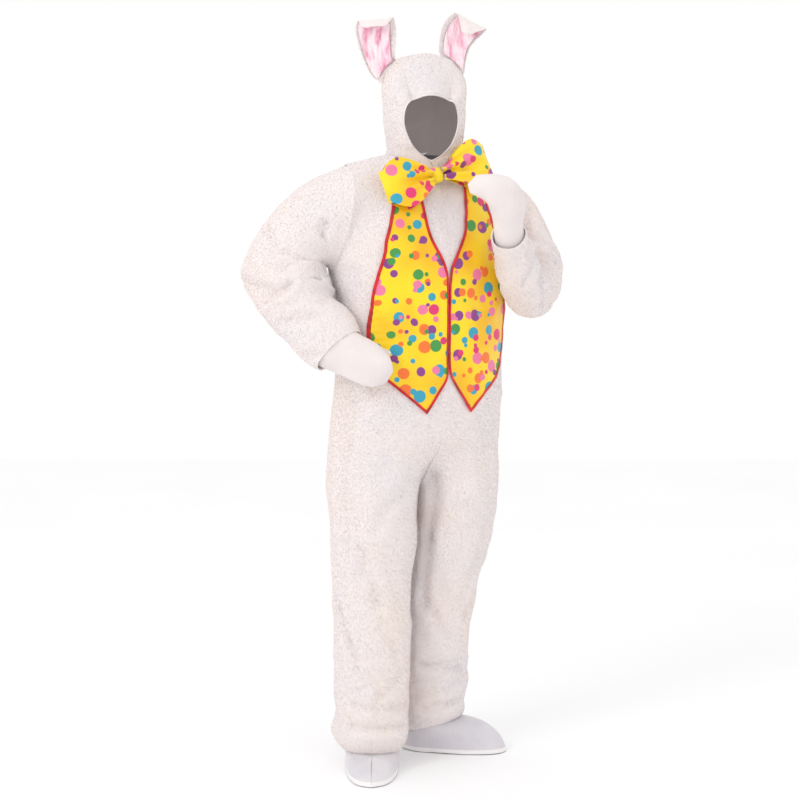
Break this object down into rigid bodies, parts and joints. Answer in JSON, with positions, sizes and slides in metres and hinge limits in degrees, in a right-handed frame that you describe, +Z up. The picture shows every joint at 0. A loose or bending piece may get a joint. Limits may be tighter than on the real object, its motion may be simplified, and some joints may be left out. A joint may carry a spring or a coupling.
{
  "type": "bunny costume",
  "caption": "White plush one-piece bunny suit with eared hood, mitts, shoe covers, dotted satin vest and bow, hollow as worn.",
  "frame": {"origin": "the base of the neck, between the shoulders that carry the suit", "axes": "+Z up. The side that shows is towards -Y, and the suit's own front is turned 26 degrees from -Y towards +X. The wearer's right is towards -X."},
  "size_m": [0.7997, 0.4445, 1.8932],
  "materials": {
    "white_plush": "short-pile white plush",
    "white_knit": "smooth white knit",
    "pink_satin": "wrinkled pink satin",
    "dot_satin": "yellow satin with round dots in several colours",
    "red_binding": "red satin binding"
  },
  "bodies": {
    "root": {"bow_knot": "dot_satin", "bow_loop_left": "dot_satin", "bow_loop_right": "dot_satin", "ear_left_back": "white_plush", "ear_left_lining": "pink_satin", "ear_right_back": "white_plush", "ear_right_lining": "pink_satin", "hood_centre": "white_plush", "hood_face_binding": "white_knit", "hood_side_left": "white_plush", "hood_side_right": "white_plush", "mitt_left_back": "white_knit", "mitt_left_palm": "white_knit", "mitt_left_thumb": "white_knit", "mitt_right_back": "white_knit", "mitt_right_palm": "white_knit", "mitt_right_thumb": "white_knit", "shoe_cover_left_inner": "white_knit", "shoe_cover_left_outer": "white_knit", "shoe_cover_right_inner": "white_knit", "shoe_cover_right_outer": "white_knit", "sleeve_left": "white_plush", "sleeve_right": "white_plush", "suit_back_left": "white_plush", "suit_back_right": "white_plush", "suit_front_left": "white_plush", "suit_front_right": "white_plush", "vest_binding_left": "red_binding", "vest_binding_right": "red_binding", "vest_front_left": "dot_satin", "vest_front_right": "dot_satin"}
  },
  "joints": []
}
